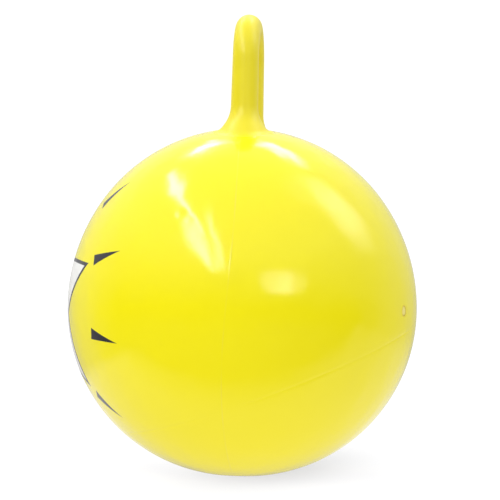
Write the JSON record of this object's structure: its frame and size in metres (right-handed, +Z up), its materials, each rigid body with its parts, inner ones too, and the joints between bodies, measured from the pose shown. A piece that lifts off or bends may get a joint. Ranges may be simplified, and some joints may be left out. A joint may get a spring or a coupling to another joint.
{
  "type": "hopper ball",
  "caption": "Inflatable hopper ball with a hollow loop handle on top and a pull-out valve plug at the back, standing on its pressed-flat underside.",
  "frame": {"origin": "centre of the pressed-flat patch on which the ball stands, at floor level", "axes": "+Z up along the ball's axis through the handle; the handle's loop lies in the YZ plane; -X is the printed front; the valve is at the back, turned 22.5 degrees from +X towards -Y"},
  "size_m": [0.45, 0.45, 0.595],
  "materials": {
    "skin_pvc": "glossy soft PVC, bright yellow",
    "handle_pvc": "glossy soft PVC, bright yellow, thicker wall",
    "seat_pvc": "satin soft PVC, yellow",
    "plug_plastic": "satin semi-rigid plastic, pale yellow"
  },
  "bodies": {
    "ball": {"ball_skin": "skin_pvc", "handle_loop": "handle_pvc", "valve_seat": "seat_pvc"},
    "plug": {"valve_plug": "plug_plastic"}
  },
  "joints": [
    {"name": "plug_pull", "type": "slide", "parent": "ball", "child": "plug", "axis": [0.9239, -0.3827, 0], "range_m": [0, 0.026]}
  ]
}
